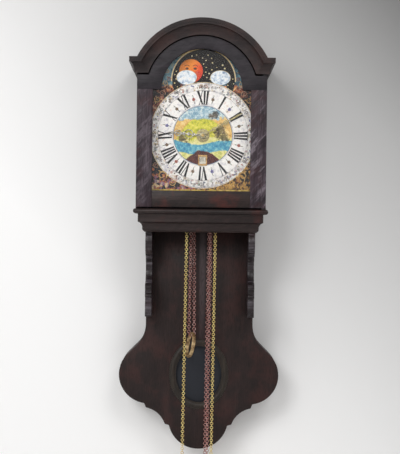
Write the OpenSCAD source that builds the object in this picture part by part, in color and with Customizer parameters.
/* [Case] */
// Height of the hanging hole above the ledge that carries the hood
hang_rise = 400; // [340:5:425]
// Radius of the hanging hole in the backboard
hang_r = 6; // [4:0.5:9]
// Thickness of the backboard
back_t = 15; // [10:1:20]
// Half width of the trunk, outside
trunk_half = 141.3; // [130:0.5:150]
// Distance from the wall to the face of the tail front
tail_depth = 98; // [92:1:104]
// Thickness of the tail front and of the walls of the tail box
tail_t = 10; // [6:1:12]
// Height of the side lobes' centre, below the ledge
lobe_drop = 437.6; // [420:1:455]
// Sideways place of a side lobe's centre
lobe_x = 134.4; // [125:0.5:145]
// Radius of a side lobe
lobe_r = 76.7; // [66:0.5:84]
// Radius of the hollow neck above a side lobe
neck_r = 78; // [66:0.5:90]
// Height of the bottom lobe's centre, below the ledge
toe_drop = 554; // [545:1:575]
// Radius of the bottom lobe
toe_r = 79.1; // [76:0.5:84]

/* [Tail window] */
// Half width of the window ring, outside
ring_a = 78.6; // [72:0.5:84]
// Half height of the window ring, outside
ring_b = 92.6; // [84:0.5:98]
// Width of the window ring
ring_w = 18.8; // [12:0.2:24]
// Height of the window's centre, below the ledge
window_drop = 435; // [425:1:445]

/* [Ledge and brackets] */
// Height of the moulding under the hood
ledge_h = 60; // [50:1:70]
// Thickness of a bracket
bracket_t = 17; // [12:1:22]
// Height of a bracket
bracket_h = 220; // [200:1:240]

/* [Hood] */
// Half width of the hood, outside
hood_half = 167; // [150:0.5:200]
// Thickness of the hood's sides
hood_t = 14; // [8:1:18]
// Distance from the wall to the front edge of the hood's sides
hood_depth = 204; // [200:1:210]
// Height of the cornice's lower edge above the ledge
cornice_low = 345.4; // [340:0.5:350]
// Height of the cornice, level part
cornice_h = 40; // [34:0.5:44]
// How far the cornice stands out
cornice_out = 19; // [14:0.5:24]
// Height of the arch's centre above the ledge
arch_h = 299; // [292:1:306]
// How far the arched cornice reaches beyond the hood's sides
arch_over = 20; // [16:0.5:24]
// Width of the arched cornice, from its inner to its outer edge
arch_w = 42; // [38:0.5:46]

/* [Door] */
// Thickness of the door
door_t = 20; // [16:1:24]
// Half width of the glazed opening
open_half = 125.6; // [120:0.2:132]
// Height of the opening's sill above the ledge
open_low = 46.3; // [40:0.5:52]
// Height of the opening's shoulders above the ledge
open_high = 304.6; // [300:0.2:310]
// Radius of the opening's arched head
open_r = 103.3; // [98:0.2:110]
// Clearance between the door and the hood's outline
door_in = 1; // [0.5:0.1:3]
// Radius of the hinge pins
pin_r = 2.2; // [1.5:0.1:3]

/* [Dial] */
// Height of the dial's centre above the ledge
dial_h = 190; // [186:1:194]
// Sideways seat of the movement and dial, to the right of the case's centre
move_x = 3.5; // [0:0.5:5]
// Radius of the chapter ring
chapter_r = 136; // [130:0.5:138]
// Radius of the moon window
moon_r = 80.8; // [76:0.2:84]
// Length of the minute hand
minute_len = 121; // [110:1:126]
// Length of the hour hand
hour_len = 90; // [80:1:98]
// Clearance of a shaft in its hole
fit = 0.05; // [0.02:0.01:0.08]

/* [Chains and weights] */
// Pitch of the chains' links
link_pitch = 5.5; // [4.5:0.1:7]
// Thickness of the links' wire
wire = 1.8; // [1.2:0.1:2]
// Radius of the alarm's sprocket
alarm_r = 36.9; // [32:0.1:38]
// Radius of the going sprocket
going_r = 25; // [20:0.5:27]
// Radius of the striking sprocket
strike_r = 21; // [18:0.5:24]
// Outer radius of the counterweight hoop
hoop_r = 34; // [24:0.5:34.5]
// Radius of the driving weight
weight_r = 28; // [20:0.5:29]
// Length of the driving weight
weight_len = 130; // [80:5:200]

/* [Pendulum] */
// Radius of the pendulum's bob
bob_r = 54; // [40:1:60]
// Half thickness of the bob at its middle
bob_edge = 12; // [8:0.5:18]
// Height of the bob's centre, below the ledge
bob_drop = 422; // [410:1:435]

/* [Hidden] */
base_z = -hang_rise;
smooth = 64;
gap = 0.3;
eps = 0.01;

dark_wood = [0.17, 0.12, 0.11];
hood_wood = [0.27, 0.22, 0.22];
brass = [0.8, 0.62, 0.28];
copper = [0.68, 0.42, 0.33];
iron = [0.3, 0.3, 0.32];
glass = [0.7, 0.8, 0.85, 0.4];

arch_r = hood_half + arch_over;
arch_in = arch_r - arch_w;
ledge_out = hood_half + 5.3 - trunk_half;
ledge_front = hood_depth - 4;
door_half = hood_half - door_in;
door_front = hood_depth + 1 + door_t;
cove_w = cornice_h - 13;
door_arc = arch_in - 2.5;
door_low = 4;
door_top = cornice_low - 4.4;
hinge_x = door_half - 3;
hinge_y = door_front - 3;
dial_back = hood_depth - 20;
dial_t = 1.5;
dial_half = max(chapter_r + 2, open_half + 8);
bars_y = [dial_back - 18, dial_back - 62, dial_back - 126];
bar_t = 4;
plate_x = 60;
plate_low = dial_h - 98;
plate_high = dial_h + 142;
plate_t = 4;
plate_front = dial_back - 8;
plate_back = bars_y[2] - 1;
foot_x = 56;
going_y = dial_back - 34;
strike_y = dial_back - 80;
pend_y = (back_t + tail_depth - tail_t) / 2 - 1.5;
hang_y = (going_y + strike_y) / 2 + 10;
bell_y = strike_y - 14;
great_h = dial_h - 44.8;
third_h = dial_h + 46.8;
escape_h = third_h + 39;
anchor_h = escape_h + 34;
fly_h = dial_h + 33;
alarm_h = dial_h - 72;
hammer_x = 46;
hammer_h = dial_h - 16;
hoop_x = -22.3;
hoop_h = -354.7;
hoop_t = 4;
hoop_w = 5;
hoop_turn = 17;
hoop_lean = 8;
view_low = -655;
pulley_r = 21;
pulley_h = view_low - pulley_r - 4;
pulley_x = 21;
link_half = link_pitch / 2 + wire;
alarm_y = dial_back - 2.45 - link_half;
middle_bar = bars_y[1];
rear_bar = bars_y[2];
bell_r = 48;
bight_x = 8.8;
bight_mid = hoop_x + (hoop_r - hoop_t) * sin(hoop_lean);
bight_low = hoop_h + (hoop_r - hoop_t) * cos(hoop_lean) - hoop_w * sin(hoop_lean) - gap - link_half;
moon_h = dial_h + chapter_r - 4;
hump_x = 43.6;
hump_a = 26.5;
hump_b = 19;
hump_h = sqrt(chapter_r * chapter_r - hump_x * hump_x) + hump_b + 1.7783;

// Points along an arc from angle a0 to a1
function arc(cx, cz, r, a0, a1, n = 12) =
    [for (i = [0:n]) let (a = a0 + (a1 - a0) * i / n) [cx + r * cos(a), cz + r * sin(a)]];
// The same points with their sideways place turned over, in the opposite order
function flipped(points) = [for (i = [len(points) - 1:-1:0]) [-points[i][0], points[i][1]]];
// Points of an oval
function oval(a, b, n = 48) = [for (i = [0:n - 1]) [a * cos(360 * i / n), b * sin(360 * i / n)]];

// A flat board: a drawing in width and height, carried back from its face at y = -(back + t)
module board(back, t) {
    translate([0, -back, base_z]) rotate([90, 0, 0]) linear_extrude(t) children();
}

// A drawing in depth and height, carried sideways from x
module sideways(x, t) {
    translate([x, 0, base_z]) rotate([90, 0, 90]) linear_extrude(t) children();
}

// A round shaft that runs forward from y = -back
module shaft(x, h, back, length, r) {
    translate([x, -back, base_z + h]) rotate([90, 0, 0]) cylinder(r = r, h = length, $fn = 32);
}

// A box with its near corner given by its low edges
module block(x, back, h, size) {
    translate([x, -back - size[1], base_z + h]) cube(size);
}

// Right half of the tail's outline, from the top to the toe, set in by t
function tail_half(t) = let (
        neck_x = trunk_half + neck_r,
        slope = (lobe_x - lobe_drop) / sqrt(2) + lobe_r,
        neck_h = (slope + neck_r) * sqrt(2) - neck_x,
        cove_x = lobe_x + 15.6,
        cove_h = -toe_drop - 36,
        cove_r = toe_r - 13.6
    ) concat(
        arc(neck_x, neck_h, neck_r + t, 180, 225),
        arc(lobe_x, -lobe_drop, lobe_r - t, 45, t > 0 ? -75 : -83.5, 20),
        arc(cove_x, cove_h, cove_r + t, 100, t > 0 ? 155 : 161),
        arc(0, -toe_drop, toe_r - t, t > 0 ? -5 : -12.4, -90, 14)
    );

// The tail's whole outline with its top edge at height top
module tail_outline(top, t) {
    right = concat([[trunk_half - t, top]], tail_half(t));
    polygon(concat(right, flipped(right)));
}

module window_oval(w) {
    translate([0, -window_drop]) polygon(oval(ring_a - w, ring_b - w));
}

module backboard() {
    right = concat(arc(0, arch_h, trunk_half, 90, 0), tail_half(0));
    color(dark_wood) difference() {
        board(0, back_t) polygon(concat(right, flipped(right)));
        translate([0, 1, 0]) rotate([90, 0, 0]) cylinder(r = hang_r, h = back_t + 2, $fn = smooth);
    }
}

module tail_sides() {
    color(dark_wood) board(back_t, tail_depth - tail_t - back_t) difference() {
        tail_outline(-ledge_h, 0);
        tail_outline(-ledge_h + 1, tail_t);
    }
}

module tail_front() {
    color(dark_wood) board(tail_depth - tail_t, tail_t) difference() {
        tail_outline(-ledge_h, 0);
        window_oval(ring_w - 5);
    }
}

// The ring is stepped in from its foot to its bead, as a turned moulding is
module window_ring() {
    edges = [0, 0.13, 0.27, 0.53, 0.75, 1];
    heights = [1.6, 3.2, 4.6, 3.4, 2.2];
    color(hood_wood) union() {
        for (i = [0:4])
            board(tail_depth, heights[i]) difference() {
                window_oval(edges[i] * ring_w);
                window_oval(edges[i + 1] * ring_w);
            }
    }
}

module window_glass() {
    color(glass) board(tail_depth - tail_t - 3, 3) window_oval(ring_w - 9);
}

// Profile of a bracket in depth and height, with its face forward
function bracket_profile() = let (f = -ledge_front + 2, top = -ledge_h) concat(
        [[-tail_depth, top], [f, top], [f, top - 6], [f + 5, top - 6]],
        arc(f + 36, top - 26, 34, 148, 236),
        [[f + 17, top - 57], [f + 22, top - 57], [f + 22, top - 61]],
        arc(f + 22, top - 97, 36, 90, -90),
        [[f + 16, top - 140], [f + 16, top - 147], [f + 22, top - 147], [f + 22, top - 159]],
        arc(f + 22, top - 165, 5.5, 90, 270),
        [[f + 28, top - 171], [f + 28, top - bracket_h], [-tail_depth, top - bracket_h]]
    );

module bracket(x) {
    color(dark_wood) sideways(x, bracket_t) polygon(bracket_profile());
}
module bracket_left() bracket(-trunk_half);
module bracket_right() bracket(trunk_half - bracket_t);

// Profile of the ledge moulding: how far out, and height
function ledge_profile() = concat(
        [[2, -ledge_h]], arc(2, -ledge_h + 8, 6, -60, 0, 4),
        [[8, -ledge_h + 12]], arc(22, -ledge_h + 12, 14, 180, 102, 6),
        [[ledge_out - 12, -ledge_h + 29], [ledge_out - 12, -13.2]],
        arc(ledge_out - 6.5, -6.6, 6.5, -90, 90, 10)
    );

module ledge_moulding() {
    out = [for (p = ledge_profile()) [trunk_half + p[0], p[1]]];
    front = [for (p = ledge_profile()) [-ledge_front - p[0], p[1]]];
    inner = trunk_half - 14;
    color(dark_wood) difference() {
        intersection() {
            board(0, ledge_front + ledge_out + 1) polygon(concat(out, flipped(out)));
            sideways(-trunk_half - ledge_out - 1, 2 * (trunk_half + ledge_out + 1))
                polygon(concat(front, [[0, -0.1], [0, -ledge_h]]));
        }
        block(-inner, -1, -ledge_h - 1, [2 * inner, ledge_front - 13, ledge_h + 2]);
        block(-trunk_half - eps, -1, -ledge_h - 1, [2 * trunk_half + 2 * eps, back_t + 1, ledge_h + 2]);
    }
}

// Board inside the moulding, with the chains' slot and the pendulum's slot
module ledge_board() {
    inner = trunk_half - 14;
    color(dark_wood) difference() {
        block(-inner, back_t, -14, [2 * inner, ledge_front - 14 - back_t, 14]);
        block(-52, bell_y, -15, [104, ledge_front - 15 - bell_y, 16]);
        block(-44, pend_y - 16, -15, [88, 30, 16]);
    }
}

// Bench that lifts the movement to the height of the dial
module movement_seat() {
    deep = dial_back - 15 - plate_back;
    color(dark_wood) difference() {
        union() {
            block(-78 + move_x, plate_back, 0, [14, deep, plate_low]);
            block(64 + move_x, plate_back, 0, [14, deep, plate_low]);
            block(-78 + move_x, plate_back, plate_low - 12, [156, deep, 12]);
        }
        block(-38 + move_x, bell_y, plate_low - 13, [76, going_y + 14 - bell_y, 14]);
    }
}

module hood_side(x) {
    color(hood_wood) difference() {
        block(x, 1, gap, [hood_t, hood_depth - 1, cornice_low + 27 - gap]);
        block(x - 1, 55, 70, [hood_t + 2, 105, 190]);
    }
}
module hood_side_left() hood_side(-hood_half);
module hood_side_right() difference() {
    hood_side(hood_half - hood_t);
    block(hood_half - hood_t - 1, hood_depth - 16, 0, [hood_t + 2, 17, 3.4]);
}

module side_glasses() {
    color(glass) for (x = [-hood_half + hood_t, hood_half - hood_t - 2])
        block(x, 50, 65, [2, 115, 200]);
}

// Arched sight board that hides the gap round the dial
module dial_mask() {
    wide = hood_half - hood_t;
    color(hood_wood) board(hood_depth - 9, 8) difference() {
        union() {
            translate([-wide, gap]) square([2 * wide, cornice_low + 20]);
            intersection() {
                translate([0, arch_h]) circle(r = arch_r - 24, $fn = smooth);
                translate([-wide, arch_h]) square([2 * wide, arch_r]);
            }
        }
        translate([-open_half - 4, open_low - 3]) square([2 * open_half + 8, open_high - open_low + 3]);
        translate([0, open_high + 1]) circle(r = open_r + 6, $fn = smooth);
    }
}

module hood_roof() {
    color(hood_wood) intersection() {
        board(1, hood_depth - 1) difference() {
            translate([0, arch_h]) circle(r = arch_r - 9, $fn = smooth);
            translate([0, arch_h]) circle(r = arch_r - 21, $fn = smooth);
        }
        block(-arch_r, 0, cornice_low + 27, [2 * arch_r, hood_depth + 1, arch_r]);
    }
}

// Hollow shared by the level and the arched cornice: distance from the lower edge, and how far out
function cornice_curve() = concat([for (i = [0:8])
        let (a = 90 - 90 * i / 8) [2 + (cove_w - 2) * cos(a), cornice_out - (cornice_out - 6) * sin(a)]],
        [for (p = [[4.6, 0], [4.6, -1.2], [6, -1.2], [6, 0]]) [cove_w + p[0], cornice_out + p[1]]]);

module cornice_side_outline() {
    right = concat([[hood_half + 6, cornice_low]],
        [for (p = cornice_curve()) [hood_half + p[1], cornice_low + p[0]]],
        [[hood_half + cornice_out, arch_h + arch_r + 5]]);
    polygon(concat(right, flipped(right)));
}

module cornice_arch() {
    far = arch_r + 60;
    section = concat([[arch_in, -door_t], [arch_in, 6]],
        [for (p = cornice_curve()) [arch_in + p[0], p[1]]],
        [[far, cornice_out], [far, -door_t]]);
    level = concat([[-hood_depth - 1, cornice_low], [-door_front - 6, cornice_low]],
        [for (p = cornice_curve()) [-door_front - p[1], cornice_low + p[0]]],
        [[-door_front - cornice_out, arch_h + arch_r + 5], [-hood_depth - 1, arch_h + arch_r + 5]]);
    color(hood_wood) intersection() {
        translate([0, -door_front, base_z + arch_h]) rotate([90, 0, 0])
            rotate_extrude($fn = smooth) polygon(section);
        sideways(-far, 2 * far) polygon(level);
        board(hood_depth, door_t + cornice_out + 2) cornice_side_outline();
        board(hood_depth, door_t + cornice_out + 2) intersection() {
            union() {
                translate([0, arch_h]) circle(r = arch_r, $fn = smooth);
                translate([-far, cornice_low]) square([2 * far, cornice_h]);
            }
            translate([-far, cornice_low]) square([2 * far, arch_r]);
        }
    }
}

module cornice_returns() {
    color(hood_wood) for (side = [-1, 1])
        board(1, hood_depth) intersection() {
            cornice_side_outline();
            translate([side * (hood_half + 20) - 20, cornice_low]) square([40, cornice_h]);
        }
}

module hinge_plates() {
    color(iron) for (h = [gap, cornice_low - 3])
        difference() {
            block(hinge_x - 8, hood_depth - 16, h, [11.5, 37, 3]);
            translate([hinge_x, -hinge_y, base_z + h - 1]) cylinder(r = pin_r + fit, h = 5, $fn = 32);
            if (h > gap)
                block(hinge_x - 9, hood_depth - 17, h - 1, [13.5, 18, 5]);
        }
}

module hinge_pins() {
    color(iron) {
        translate([hinge_x, -hinge_y, base_z + 0.6]) cylinder(r = pin_r, h = 20, $fn = 32);
        translate([hinge_x, -hinge_y, base_z + door_top - 16]) cylinder(r = pin_r, h = 20, $fn = 32);
    }
}

module door_opening(extra) {
    translate([-open_half - extra, open_low - extra])
        square([2 * (open_half + extra), open_high - open_low + 2 * extra]);
    translate([0, open_high + 1.4]) circle(r = open_r + extra, $fn = smooth);
}

module door_outline() {
    translate([-door_half, door_low]) square([2 * door_half, door_top - door_low]);
    intersection() {
        translate([0, arch_h]) circle(r = door_arc, $fn = smooth);
        translate([-door_arc, arch_h]) square([2 * door_arc, door_arc + 1]);
    }
}

// A piece of the door: the outline between two heights and two sides, less the opening and its rebate
module door_piece(low, high, left, right) {
    color(hood_wood) difference() {
        board(hood_depth + 1, door_t) intersection() {
            door_outline();
            translate([left, low]) square([right - left, high - low]);
        }
        board(hood_depth, door_t + 2) door_opening(0);
        board(hood_depth, 8) door_opening(6);
        for (h = [0, door_top - 16])
            translate([hinge_x, -hinge_y, base_z + h]) cylinder(r = pin_r, h = 20.6, $fn = 32);
    }
}
module door_stile_left() door_piece(0, open_high, -door_half, -open_half);
module door_stile_right() door_piece(0, open_high, open_half, door_half);
module door_head() door_piece(open_high, open_high + 200, -door_half, door_half);
module door_rail() door_piece(0, open_low, -open_half, open_half);
module door_glass() color(glass) board(hood_depth + 4.6, 3) door_opening(5.6);

// Dial plate with the moon's window, its two humps and the date's framed window
module dial_plate() {
    aperture = [17, 19];
    date_h = dial_h - 64;
    color([0.93, 0.9, 0.84]) translate([move_x, 0, 0]) {
        difference() {
            board(dial_back, dial_t) difference() {
                union() {
                    translate([-dial_half, open_low - 0.5]) square([2 * dial_half, open_high + 2 - open_low]);
                    translate([0, open_high + 1.4]) circle(r = open_r + 8, $fn = smooth);
                }
                difference() {
                    translate([0, moon_h + 10]) circle(r = moon_r, $fn = smooth);
                    translate([0, dial_h]) circle(r = chapter_r, $fn = smooth);
                    for (x = [-hump_x, hump_x]) translate([x, dial_h + hump_h]) {
                        polygon(oval(hump_a, hump_b));
                        translate([-hump_a * 0.6, -hump_b - 14]) square([hump_a * 1.2, hump_b + 8]);
                    }
                }
                translate([-aperture[0] / 2, date_h - aperture[1] / 2]) square(aperture);
            }
            shaft(0, dial_h, dial_back - 1, 5, 6);
        }
        board(dial_back + dial_t, 1.2) difference() {
            translate([-aperture[0] / 2 - 3, date_h - aperture[1] / 2 - 4])
                square([aperture[0] + 6, aperture[1] + 8]);
            translate([-aperture[0] / 2, date_h - aperture[1] / 2]) square(aperture);
        }
        shaft(0, moon_h, dial_back - 2.6, 3, 2.5);
        shaft(0, date_h - 42, dial_back - 2.6, 3, 2.5);
        for (x = [-foot_x, foot_x]) {
            shaft(x, plate_low + plate_t / 2, plate_front, dial_back - plate_front + 0.5, 2);
            shaft(x, dial_h + 37, bars_y[0] + bar_t, dial_back - bars_y[0] - bar_t + 0.5, 2);
        }
    }
}

// A disc behind the dial that turns on its stud
module backing_disc(h, r) {
    translate([move_x, 0, 0]) difference() {
        shaft(0, h, dial_back - 2, 1.2, r);
        shaft(0, h, dial_back - 4, 5, 2.5 + fit);
    }
}
module moon_disc() color([0.1, 0.12, 0.2]) backing_disc(moon_h, 84);
module date_disc() color([0.93, 0.9, 0.84]) backing_disc(dial_h - 64 - 42, 52.6);

// Flat drawing of a hand along +x: a thin stem with pierced ovals strung on it
// Each oval is its place, half length and half width
module hand_drawing(length, eye, bore, stem, ovals) {
    rim = 2.2;
    difference() {
        union() {
            circle(r = eye, $fn = smooth);
            polygon([[0, -stem], [length * 0.72, -stem], [length * 0.84, -stem * 1.7], [length, 0],
                [length * 0.84, stem * 1.7], [length * 0.72, stem], [0, stem]]);
            for (o = ovals) translate([o[0], 0]) polygon(oval(o[1], o[2]));
            for (o = ovals, side = [-1, 1]) translate([o[0] + side * (o[1] + 1.2), 0])
                circle(r = o[2] * 0.34, $fn = 24);
        }
        circle(r = bore, $fn = smooth);
        for (o = ovals) translate([o[0], 0]) difference() {
            polygon(oval(o[1] - rim, o[2] - rim * 0.9));
            translate([-o[1], -stem * 0.8]) square([2 * o[1], stem * 1.6]);
            circle(r = o[2] * 0.36, $fn = 24);
        }
    }
}

module hour_hand() {
    color(brass) translate([move_x, 0, dial_h]) board(dial_back + 6, 1.4)
        rotate(175) hand_drawing(hour_len, 8, 5, 1.6, [[36.6, 12, 12], [64, 8.6, 8]]);
}

module minute_hand() {
    color(brass) translate([move_x, 0, dial_h]) board(dial_back + 9.5, 1.4)
        rotate(30) hand_drawing(minute_len, 6.5, 2.5, 1.4, [[33, 7, 4.6], [50, 8, 5.6], [67, 7.4, 4.8]]);
}

module alarm_disc() {
    color(brass) translate([move_x, 0, dial_h]) board(dial_back + 3, 1.2) difference() {
        circle(r = 17, $fn = smooth);
        circle(r = 5 + fit, $fn = smooth);
    }
}

module bottom_plate() {
    color(iron) translate([move_x, 0, 0]) difference() {
        block(-plate_x, plate_back, plate_low, [2 * plate_x, plate_front - plate_back, plate_t]);
        block(-36, strike_y - 12, plate_low - 1, [72, 26, plate_t + 2]);
        block(-36, going_y - 20, plate_low - 1, [72, 30, plate_t + 2]);
        block(-alarm_r - 8, alarm_y - 5.5, plate_low - 1, [2 * alarm_r + 16, 12, plate_t + 2]);
    }
}

// Top plate with the turned post that carries the bell
module top_plate() {
    color(iron) translate([move_x, 0, 0]) {
        block(-plate_x, plate_back, plate_high, [2 * plate_x, plate_front - plate_back, plate_t]);
        translate([0, -bell_y, base_z + plate_high + plate_t - eps]) rotate_extrude($fn = smooth)
            polygon([[0, 0], [8, 0], [8, 3], [4, 6], [3, 12], [4.6, 16], [3, 20], [3, 44], [0, 44]]);
    }
}

// Four turned pillars between the plates
module pillars() {
    length = plate_high - plate_low - plate_t;
    color(iron) translate([move_x, 0, 0]) for (x = [-54.5, 54.5], y = [rear_bar + 12, plate_front - 16])
        translate([x, -y, base_z + plate_low + plate_t]) rotate_extrude($fn = 32)
            polygon([[0, 0], [5, 0], [5, 8], [3.4, 12], [3, 30], [4.4, length / 2 - 6], [4.4, length / 2 + 6],
                [3, length - 30], [3.4, length - 12], [5, length - 8], [5, length], [0, length]]);
}

// Upright bars that hold the arbors' ends, with wings for the hammers and for the motion work
module arbor_bars() {
    length = plate_high - plate_low - plate_t;
    deep = bars_y[0] - rear_bar;
    color(iron) translate([move_x, 0, 0]) difference() {
        for (i = [0:2])
            board(bars_y[i], bar_t) {
                translate([-8, plate_low + plate_t]) square([16, length]);
                if (i > 0) translate([-hammer_x - 3.5, hammer_h - 7]) square([2 * hammer_x + 7, 14]);
                if (i == 0) translate([-4, dial_h - 8]) square([35, 16]);
                if (i == 0) translate([-foot_x - 6, dial_h + 32]) square([2 * foot_x + 12, 10]);
            }
        for (h = [great_h, third_h, escape_h, fly_h]) shaft(0, h, rear_bar - 8, deep + 22, 1.5 + fit);
        shaft(0, dial_h, rear_bar - 8, deep - 8, 1.5 + fit);
        shaft(0, dial_h, bars_y[0] - 1, 10, 2.5 + fit);
        shaft(0, anchor_h, rear_bar - 8, deep + 22, 2 + fit);
        for (x = [-hammer_x, hammer_x]) shaft(x, hammer_h, rear_bar - 8, deep - 8, 1.5 + fit);
    }
    color(iron) translate([move_x, 0, 0]) {
        shaft(24, dial_h, bars_y[0] + bar_t - eps, 11.5, 1.5);
        shaft(0, alarm_h, bars_y[0] + bar_t - eps, 10.5, 2.5);
    }
}

// Toothed wheel outline with straight-sided teeth, a tooth on the angle turn
function teeth(n, m, turn, addendum, width) = [for (i = [0:n - 1], k = [0:3])
        let (
            a = turn + 360 * (i + [-0.5, -0.3, 0.3, 0.5][k] * width) / n,
            r = m * n / 2 + ([0, 1, 1, 0][k] > 0 ? addendum * m : -1.1 * m)
        ) [r * cos(a), r * sin(a)]];

// A train wheel: toothed rim, four arms and a hub
module train_wheel(n, m, turn, t, hub) {
    inner = m * n / 2 - 1.1 * m - 3;
    linear_extrude(t) {
        difference() {
            polygon(teeth(n, m, turn, 0.7, 0.62));
            circle(r = inner, $fn = smooth);
        }
        difference() {
            union() {
                circle(r = hub, $fn = 32);
                for (a = [0, 90]) rotate(a + turn) square([2 * inner + 1, 4], center = true);
            }
            circle(r = 1, $fn = 32);
        }
    }
}

// Leaves that fall between the teeth of the wheel below it
module pinion(n, m, turn, t) {
    linear_extrude(t) polygon(teeth(n, m, turn, 0.6, 0.55));
}

// Stands a drawing-plane solid up with its axis forward, at a height and a depth
module forward(h, y) {
    translate([move_x, -y, base_z + h]) rotate([90, 0, 0]) children();
}

// A rim with a narrow groove that takes the links of a strand that hangs at radius strand_r
module sprocket(strand_r, t) {
    root = strand_r - link_half - gap;
    rim = root + 1.3;
    half = wire / 2 + 0.8;
    rotate_extrude($fn = smooth) polygon([[1.2, 0], [rim - 1, 0], [rim, 1], [rim, t / 2 - half],
        [root, t / 2 - half], [root, t / 2 + half], [rim, t / 2 + half], [rim, t - 1], [rim - 1, t], [1.2, t]]);
}

// Arbor with thin ends that turn in the bars
module arbor(length, r) {
    rotate_extrude($fn = 32) polygon([[0, 0.2], [1.5, 0.2], [1.5, bar_t + 0.3], [r, bar_t + 0.3],
        [r, length - bar_t - 0.3], [1.5, length - bar_t - 0.3], [1.5, length - 0.2], [0, length - 0.2]]);
}

section_a = [bars_y[1] + bar_t / 2, bars_y[0] - bars_y[1] + bar_t / 2];
section_b = [bars_y[2], bars_y[1] - bars_y[2] + bar_t / 2];

module going_wheel() {
    color(brass) {
        forward(great_h, section_a[0]) arbor(section_a[1], 1.8);
        forward(great_h, middle_bar + 8) train_wheel(48, 1.6, 90, 3.5, 10);
        forward(great_h, going_y - 6) sprocket(going_r, 12);
    }
}

module centre_wheel() {
    color(brass) {
        forward(dial_h, section_a[0]) rotate_extrude($fn = 32)
            polygon([[0, 0.2], [1.5, 0.2], [1.5, 2.3], [2.5, 2.3], [2.5, 71.5], [0, 71.5]]);
        forward(dial_h, middle_bar + 6) pinion(8, 1.6, 90 + 22.5, 9);
        forward(dial_h, middle_bar + 37.4) train_wheel(64, 1.3, 90, 3, 7);
        forward(dial_h, bars_y[0] + bar_t + 1) pinion(12, 1, 0, 4);
    }
}

module third_wheel() {
    color(brass) {
        forward(third_h, section_a[0]) arbor(section_a[1], 2.2);
        forward(third_h, middle_bar + 36) pinion(8, 1.3, 90 + 22.5, 6);
        forward(third_h, middle_bar + 16) train_wheel(70, 1, 90, 2.5, 6);
    }
}

// Escape wheel with leaning pointed teeth
module escape_wheel() {
    n = 30;
    r = 24;
    color(brass) {
        forward(escape_h, section_a[0]) arbor(section_a[1], 2);
        forward(escape_h, middle_bar + 13) pinion(8, 1, 90 + 22.5, 8);
        forward(escape_h, middle_bar + 28) linear_extrude(2) {
            difference() {
                polygon([for (i = [0:n - 1], k = [0:1]) let (a = 360 * (i + k * 0.55) / n, q = r - k * 5)
                    [q * cos(a), q * sin(a)]]);
                circle(r = r - 8, $fn = smooth);
            }
            for (a = [0, 90]) rotate(a) square([2 * r - 15, 3], center = true);
            circle(r = 5, $fn = 32);
        }
    }
}

// Recoil anchor on its arbor, with the crutch behind the movement
module anchor() {
    back = pend_y + 3.6;
    color(iron) {
        forward(anchor_h, back) cylinder(r = 2, h = bars_y[0] + bar_t - back - 1, $fn = 32);
        forward(anchor_h, middle_bar + 27) linear_extrude(4) difference() {
            polygon([[-4, 5], [4, 5], [25, -12], [25.5, -24], [21, -15], [4, -4], [-4, -4], [-21, -15],
                [-25.5, -24], [-25, -12]]);
            circle(r = 1, $fn = 32);
        }
        forward(anchor_h, back) linear_extrude(2.4) {
            circle(r = 4, $fn = 32);
            translate([-1.5, -74]) square([3, 74]);
        }
        for (x = [-1, 1]) forward(anchor_h, pend_y - 4) translate([x * 5.2 - 1, -74, 0]) cube([2, 6, 7.8]);
        forward(anchor_h, back) translate([-6.2, -74, 0]) cube([12.4, 6, 2.4]);
    }
}

module pendulum_rod() {
    foot = -bob_drop - bob_r - 22;
    color(brass) {
        forward(anchor_h, pend_y - 3) translate([-4, -36, 2.7]) cube([8, 34, 0.6]);
        forward(anchor_h, pend_y - 3) translate([-3, -2.5, 0]) cube([6, 5, 5.4]);
        translate([move_x, -pend_y, base_z + foot])
            cylinder(r = 3, h = anchor_h - 32 - foot, $fn = 32);
    }
}

// Lens-shaped bob, turned about its own middle, with its rating nut
module pendulum_bob() {
    face = [for (i = [0:10]) let (q = i / 10) [bob_r * (1 - q), bob_edge * (1 - (1 - q) * (1 - q))]];
    back = [for (i = [10:-1:0]) let (q = i / 10) [bob_r * (1 - q), -bob_edge * (1 - (1 - q) * (1 - q))]];
    color(brass) difference() {
        union() {
            translate([move_x, -pend_y, base_z - bob_drop]) rotate([90, 0, 0]) rotate_extrude($fn = smooth)
                polygon(concat([for (p = face) p + [0, 0.8]], [for (p = back) p - [0, 0.8]]));
            translate([move_x, -pend_y, base_z - bob_drop - bob_r - 6.3]) cylinder(r = 7, h = 6, $fn = 32);
        }
        translate([move_x, -pend_y, base_z - bob_drop - bob_r - 12])
            cylinder(r = 3 + fit, h = 2 * bob_r + 20, $fn = 32);
    }
}

// Bracket behind the movement that the pendulum hangs from
module pendulum_cock() {
    color(iron) translate([move_x, 0, 0]) difference() {
        union() {
            block(-9, back_t, anchor_h + 6, [18, bars_y[2] - back_t, 8]);
            block(-16, back_t, anchor_h - 8, [32, 4, 40]);
            block(-9, pend_y - 7, anchor_h - 3, [18, 9.6, 10]);
        }
        block(-3 - gap, pend_y - 3 - gap, anchor_h - 2.5 - gap, [6 + 2 * gap, 5.6 + 2 * gap, 5 + 2 * gap]);
        block(-5.5, pend_y - 1, anchor_h - 10, [11, 2, 10]);
    }
}

module strike_wheel() {
    color(brass) {
        forward(great_h, section_b[0]) arbor(section_b[1], 3);
        forward(great_h, rear_bar + 22) train_wheel(56, 1.4, 90, 3.5, 9);
        forward(great_h, strike_y - 6) sprocket(strike_r, 12);
    }
}

module pin_wheel() {
    color(brass) {
        forward(dial_h, section_b[0]) arbor(section_b[1], 2.4);
        forward(dial_h, rear_bar + 19) pinion(8, 1.4, 90 + 22.5, 9);
        forward(dial_h, rear_bar + 54.5) train_wheel(54, 1.1, 90, 3, 7);
        for (i = [0:7]) forward(dial_h, rear_bar + 49) rotate(45 * i + 22.5) translate([25.4, 0, 0])
            cylinder(r = 1.1, h = 7, $fn = 24);
    }
}

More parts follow.
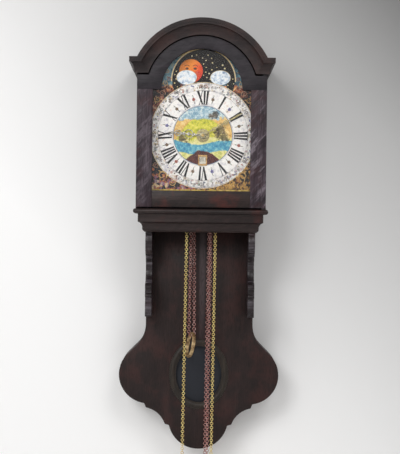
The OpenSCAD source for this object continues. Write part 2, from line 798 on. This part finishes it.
// Air brake that slows the strike
module fly() {
    color(brass) {
        forward(fly_h, section_b[0]) arbor(section_b[1], 2);
        forward(fly_h, rear_bar + 52) pinion(6, 1.1, 90 + 30, 7);
        forward(fly_h, rear_bar + 12) translate([-22, -0.6, 0]) cube([44, 1.2, 28]);
        forward(fly_h, rear_bar + 14) cylinder(r = 3.2, h = 24, $fn = 32);
    }
}

// Hammer with its tail, mirrored for the alarm
module bell_hammer(side, y) {
    bell_h = plate_high + 20;
    forward(hammer_h, section_b[0]) translate([side * hammer_x, 0, 0]) arbor(section_b[1], 2.2);
    forward(0, y) linear_extrude(3) polygon([for (p = [[43, hammer_h - 3], [49, hammer_h - 3], [71, 206],
        [71, bell_h + 4], [67, bell_h + 4], [67, 208], [43, hammer_h + 4]]) [side * p[0], p[1]]]);
    translate([move_x + side * (bell_r + 2.5), -y - 1.5, base_z + bell_h]) rotate([0, side * 90, 0])
        rotate_extrude($fn = 32) polygon([[0, 0], [4, 0], [6, 3], [6, 14], [4, 18], [0, 18]]);
}

module hammer() {
    color(iron) {
        bell_hammer(1, bell_y - 2);
        forward(hammer_h, rear_bar + 47) linear_extrude(3)
            polygon([[42, -3], [48, -4], [48, 4], [42, 5], [30, 12], [28, 9]]);
    }
}

module alarm_hammer() {
    color(iron) bell_hammer(-1, bell_y - 2);
}

// Bell: an open bowl on the post
module bell() {
    r = bell_r;
    height = 34;
    outer = [for (i = [0:10]) let (a = 9 * i) [r * cos(a), height * sin(a)]];
    inner = [for (i = [10:-1:0]) let (a = 9 * i) [(r - 3) * cos(a), (height - 3) * sin(a)]];
    color(brass) {
        translate([move_x, -bell_y, base_z + plate_high + 12]) difference() {
            rotate_extrude($fn = smooth) polygon([for (p = concat(outer, inner)) [max(0, p[0]), p[1]]]);
            translate([0, 0, 20]) cylinder(r = 3, h = 30, $fn = 32);
        }
        translate([move_x, -bell_y, base_z + plate_high + 12 + height]) difference() {
            cylinder(r = 6, h = 3, $fn = 32);
            translate([0, 0, -1]) cylinder(r = 3, h = 6, $fn = 32);
        }
    }
}

module hour_wheel() {
    back = bars_y[0] + bar_t + 6;
    color(brass) difference() {
        union() {
            forward(dial_h, back) linear_extrude(2) polygon(teeth(40, 0.96, 0, 0.7, 0.62));
            forward(dial_h, back) cylinder(r = 5, h = dial_back + 7.4 - back, $fn = smooth);
        }
        forward(dial_h, back - 1) cylinder(r = 2.5 + fit, h = 40, $fn = smooth);
    }
}

module minute_wheel() {
    back = bars_y[0] + bar_t + 1;
    color(brass) difference() {
        union() {
            forward(dial_h, back) translate([24, 0, 0]) linear_extrude(3) polygon(teeth(36, 1, 5, 0.7, 0.62));
            forward(dial_h, back + 3) translate([24, 0, 0]) linear_extrude(5)
                polygon(teeth(10, 0.96, 18, 0.6, 0.55));
        }
        forward(dial_h, back - 2) translate([24, 0, 0]) cylinder(r = 1.5 + fit, h = 14, $fn = 32);
    }
}

// Alarm's chain wheel with the crown teeth that rock the alarm hammer
module alarm_wheel() {
    tip = alarm_r - link_half - gap - 1;
    color(brass) difference() {
        union() {
            forward(alarm_h, alarm_y - 4.4) sprocket(alarm_r, 8);
            forward(alarm_h, alarm_y - 4.4) linear_extrude(1.4)
                polygon([for (i = [0:29], k = [0:1]) let (a = 12 * (i + k * 0.7), q = tip + k * 4)
                    [q * cos(a), q * sin(a)]]);
        }
        forward(alarm_h, alarm_y - 8) cylinder(r = 2.5 + fit, h = 16, $fn = 32);
    }
}

// Straight strand from one point down to another, points in width, depth and height
module strand(from, to) {
    run = [to[0] - from[0], -(to[1] - from[1]), to[2] - from[2]];
    length = norm(run);
    lean = [asin(run[1] / length), -asin(run[0] / length)];
    translate([from[0], -from[1], base_z + from[2]]) rotate([lean[0], lean[1], 0])
        translate([0, 0, -length]) linear_extrude(length) strand_section();
}

// Cross-shaped outline of a strand seen from its end: one link flat and the next on edge
module strand_section() {
    w = link_half;
    t = wire / 2;
    polygon([[w, t], [t, t], [t, w], [-t, w], [-t, t], [-w, t], [-w, -t], [-t, -t], [-t, -w], [t, -w],
        [t, -t], [w, -t]]);
}

module copper_chain_left() {
    color(copper) {
        strand([move_x - going_r, going_y, great_h], [bight_mid - bight_x, hang_y, bight_low]);
        strand([move_x - strike_r, strike_y, great_h], [bight_mid + bight_x, hang_y, bight_low]);
        translate([bight_mid - bight_x, -hang_y, base_z + bight_low]) rotate([0, 90, 0])
            linear_extrude(2 * bight_x) strand_section();
    }
}

module copper_chain_right() {
    color(copper) {
        strand([move_x + going_r, going_y, great_h], [pulley_x + 3, hang_y + pulley_r, pulley_h]);
        strand([move_x + strike_r, strike_y, great_h], [pulley_x - 3, hang_y - pulley_r, pulley_h]);
        translate([pulley_x, -hang_y, base_z + pulley_h]) rotate([0, 90, 8])
            rotate_extrude(angle = 180, start = -90, $fn = smooth) translate([pulley_r, 0]) strand_section();
    }
}

module brass_chain_left() {
    color(brass) strand([move_x - alarm_r, alarm_y, alarm_h], [-40.4, alarm_y, view_low]);
}

module brass_chain_right() {
    color(brass) strand([move_x + alarm_r, alarm_y, alarm_h], [34.4, alarm_y, view_low]);
}

// Flat brass hoop that hangs in the chain's bight
module counter_hoop() {
    color(brass) translate([hoop_x, -hang_y, base_z + hoop_h]) rotate([0, hoop_lean, 0])
        rotate([0, 90, hoop_turn]) difference() {
            cylinder(r = hoop_r, h = hoop_w, center = true, $fn = smooth);
            cylinder(r = hoop_r - hoop_t, h = hoop_w + 1, center = true, $fn = smooth);
        }
}

module weight_pulley() {
    color(brass) translate([pulley_x, -hang_y, base_z + pulley_h]) rotate([0, 90, 8]) difference() {
        translate([0, 0, -6]) sprocket(pulley_r, 12);
        cylinder(r = 2.5 + fit, h = 14, center = true, $fn = 32);
    }
}

// Driving weight: a capped cylinder below the pulley's fork
module weight() {
    top = pulley_h - pulley_r - 14;
    color(brass) translate([pulley_x, -hang_y, base_z]) {
        translate([0, 0, top - weight_len]) rotate_extrude($fn = smooth)
            polygon([[0, 0], [weight_r - 3, 0], [weight_r, 3], [weight_r, weight_len - 3],
                [weight_r - 3, weight_len], [7, weight_len + 1], [4, weight_len + 5], [0, weight_len + 5]]);
        translate([0, 0, pulley_h]) rotate([0, 90, 8]) cylinder(r = 2.5, h = 22, center = true, $fn = 32);
        rotate([0, 0, 8]) {
            for (x = [-9.5, 6.9]) translate([x, -4, top + 4]) cube([2.6, 8, pulley_h - top + 2]);
            translate([-9.5, -4, top + 2]) cube([19, 8, 4]);
        }
    }
}

module alarm_weight() {
    color(brass) translate([34.4, -alarm_y, base_z + view_low]) rotate_extrude($fn = smooth)
        polygon([[0, -70], [8, -70], [10, -67], [10, -18], [8, -14], [3, -11], [2, -6], [4, -4], [2, 0],
            [0, 0]]);
}

module alarm_ring() {
    color(brass) translate([-40.4, -alarm_y, base_z + view_low - 12]) rotate([90, 0, 0])
        rotate_extrude($fn = smooth) translate([10, 0]) circle(r = 2, $fn = 24);
}

backboard();
tail_sides();
tail_front();
window_ring();
window_glass();
bracket_left();
bracket_right();
ledge_board();
ledge_moulding();
movement_seat();
hood_side_left();
hood_side_right();
side_glasses();
dial_mask();
hood_roof();
cornice_arch();
cornice_returns();
hinge_plates();
door_stile_left();
door_stile_right();
door_head();
door_rail();
door_glass();
hinge_pins();
dial_plate();
hour_hand();
minute_hand();
alarm_disc();
moon_disc();
date_disc();
bottom_plate();
top_plate();
pillars();
arbor_bars();
going_wheel();
centre_wheel();
third_wheel();
escape_wheel();
anchor();
pendulum_rod();
pendulum_bob();
pendulum_cock();
strike_wheel();
pin_wheel();
fly();
hammer();
bell();
hour_wheel();
minute_wheel();
alarm_wheel();
alarm_hammer();
copper_chain_left();
copper_chain_right();
brass_chain_left();
brass_chain_right();
counter_hoop();
weight_pulley();
weight();
alarm_weight();
alarm_ring();
